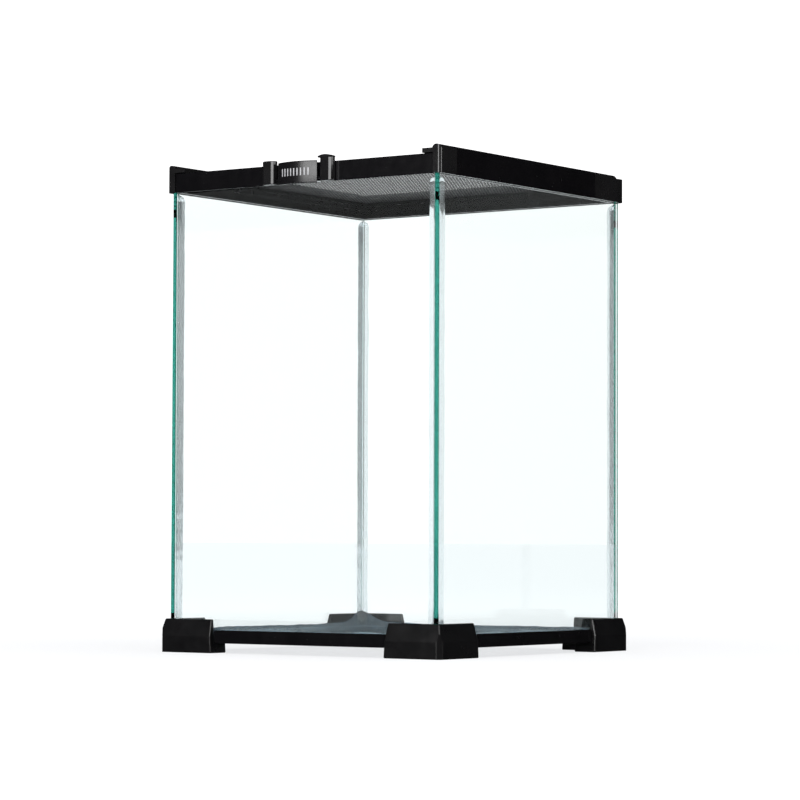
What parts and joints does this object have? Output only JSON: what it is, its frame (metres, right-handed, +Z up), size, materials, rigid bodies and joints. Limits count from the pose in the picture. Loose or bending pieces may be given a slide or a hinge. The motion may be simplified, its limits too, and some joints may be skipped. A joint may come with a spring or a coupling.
{
  "type": "terrarium",
  "caption": "Upright glass pet tank with a black frame and corner feet, a sliding screen lid held in side channels, and a hinged finger latch.",
  "frame": {"origin": "under the middle of the whole box, on the surface that the feet stand on", "axes": "+Z up, -Y out of the front, where the latch is, +X to the right as seen from the front with the sky up"},
  "size_m": [0.2096, 0.2134, 0.3],
  "materials": {
    "float_glass": "clear float glass with green ground edges",
    "clear_sealant": "clear silicone bead, tooled by hand",
    "foot_plastic": "fine moulded texture, satin black",
    "frame_plastic": "satin black moulding",
    "latch_plastic": "smooth black moulding",
    "steel_screen": "thin punched sheet, coated black",
    "pin_steel": "blackened wire"
  },
  "bodies": {
    "tank": {"floor_pane": "float_glass", "front_pane": "float_glass", "back_pane": "float_glass", "left_pane": "float_glass", "right_pane": "float_glass", "floor_sealant": "clear_sealant", "sealant_front_left": "clear_sealant", "sealant_front_right": "clear_sealant", "sealant_back_left": "clear_sealant", "sealant_back_right": "clear_sealant", "foot_front_left": "foot_plastic", "foot_front_right": "foot_plastic", "foot_back_left": "foot_plastic", "foot_back_right": "foot_plastic", "base_rail_front": "foot_plastic", "base_rail_back": "foot_plastic", "base_rail_left": "foot_plastic", "base_rail_right": "foot_plastic", "side_rail_left": "frame_plastic", "side_rail_right": "frame_plastic", "back_rail": "frame_plastic", "corner_front_left": "frame_plastic", "corner_front_right": "frame_plastic", "corner_back_left": "frame_plastic", "corner_back_right": "frame_plastic"},
    "lid": {"lid_front_bar": "frame_plastic", "lid_frame": "frame_plastic", "screen": "steel_screen", "screen_retainer": "frame_plastic", "latch_post_left": "frame_plastic", "latch_post_right": "frame_plastic", "latch_pin": "pin_steel"},
    "latch": {"latch_plate": "latch_plastic"}
  },
  "joints": [
    {"name": "lid_slide", "type": "slide", "parent": "tank", "child": "lid", "axis": [0, -1, 0], "range_m": [0, 0.16]},
    {"name": "latch_pivot", "type": "hinge", "parent": "lid", "child": "latch", "pos_m": [0, -0.10145, 0.2852], "axis": [1, 0, 0], "range_deg": [0, 60]}
  ]
}
